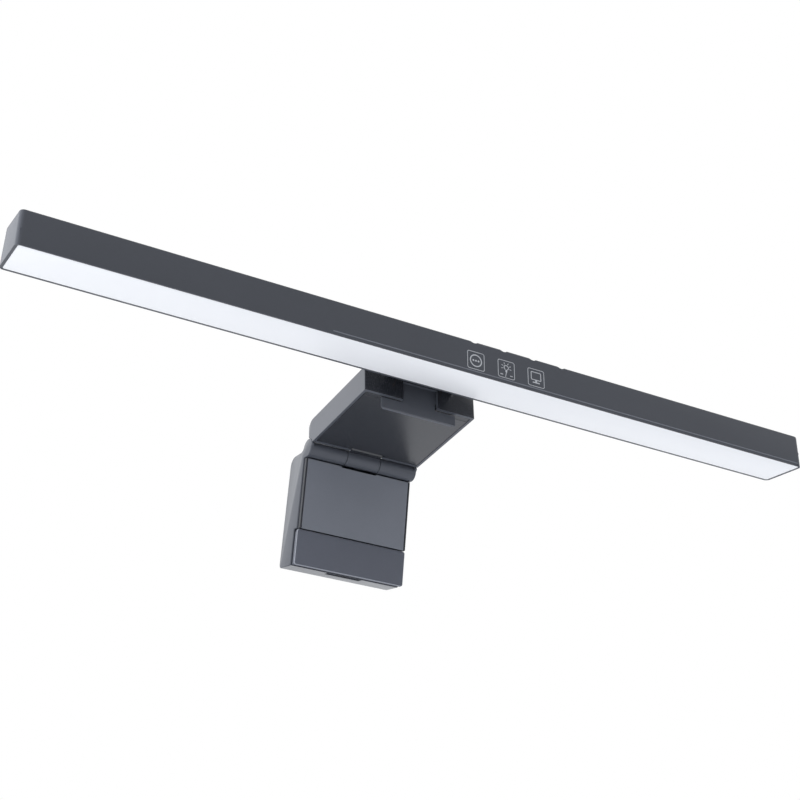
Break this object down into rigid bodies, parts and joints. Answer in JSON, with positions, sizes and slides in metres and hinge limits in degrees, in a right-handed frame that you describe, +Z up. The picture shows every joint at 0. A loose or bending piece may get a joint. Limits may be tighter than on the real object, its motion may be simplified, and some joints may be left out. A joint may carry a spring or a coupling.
{
  "type": "monitor light bar",
  "caption": "Slim LED light bar tilting on a short arm that rests on a monitor's top edge, held by a folding counterweight behind it.",
  "frame": {"origin": "centre of the arm's flat underside, where it rests on the monitor's top edge", "axes": "+X along the bar, +Y to the back of the monitor, +Z up; the bar's lit side faces down"},
  "size_m": [0.4, 0.1227, 0.0784],
  "materials": {
    "grey_alloy": "fine matte dark grey coating",
    "panel_grey": "satin grey coating",
    "tray_grey": "moulded matte",
    "pad_rubber": "matte",
    "bright_steel": "plain",
    "blackened_steel": "blackened",
    "bronze": "plain",
    "diffuser_white": "opal, satin",
    "aluminium": "plain",
    "reflector_white": "white gloss",
    "board_green": "solder mask",
    "board_white": "white solder mask",
    "wire_black": "plain"
  },
  "bodies": {
    "arm": {"arm_shell": "grey_alloy", "arm_cover": "grey_alloy", "cover_stud_left": "bright_steel", "cover_stud_right": "bright_steel", "front_lip": "panel_grey", "lip_screw_left": "bright_steel", "lip_screw_right": "bright_steel", "lip_pad": "pad_rubber", "hinge_leaf": "grey_alloy", "leaf_screw_left": "bright_steel", "leaf_screw_right": "bright_steel", "hinge_bush": "bronze", "arm_lead": "wire_black", "tilt_pin": "bright_steel", "tilt_nut": "bright_steel"},
    "counterweight": {"weight_housing": "grey_alloy", "inner_tray": "tray_grey", "front_panel": "panel_grey", "rubber_pad": "pad_rubber", "steel_weight": "blackened_steel", "hinge_pin": "bright_steel", "tray_screw_1": "bright_steel", "tray_screw_2": "bright_steel", "tray_screw_3": "bright_steel", "tray_screw_4": "bright_steel", "usb_socket": "bright_steel", "inlet_board": "board_green", "weight_lead": "wire_black"},
    "bar": {"bar_housing": "grey_alloy", "diffuser": "diffuser_white", "heat_spreader": "aluminium", "led_board": "board_white", "reflector_front": "reflector_white", "reflector_rear": "reflector_white", "touch_board": "board_green", "driver_board": "board_green", "bar_lead": "wire_black", "tilt_saddle": "blackened_steel", "saddle_screw_left": "bright_steel", "saddle_screw_right": "bright_steel", "friction_washer_left": "bronze", "friction_washer_right": "bronze"}
  },
  "joints": [
    {"name": "clamp_hinge", "type": "hinge", "parent": "arm", "child": "counterweight", "pos_m": [0, 0.0324, -0.00125], "axis": [1, 0, 0], "range_deg": [-90, 60]},
    {"name": "bar_tilt", "type": "hinge", "parent": "arm", "child": "bar", "pos_m": [0, -0.0316, 0.0112], "axis": [1, 0, 0], "range_deg": [-30, 15]}
  ]
}
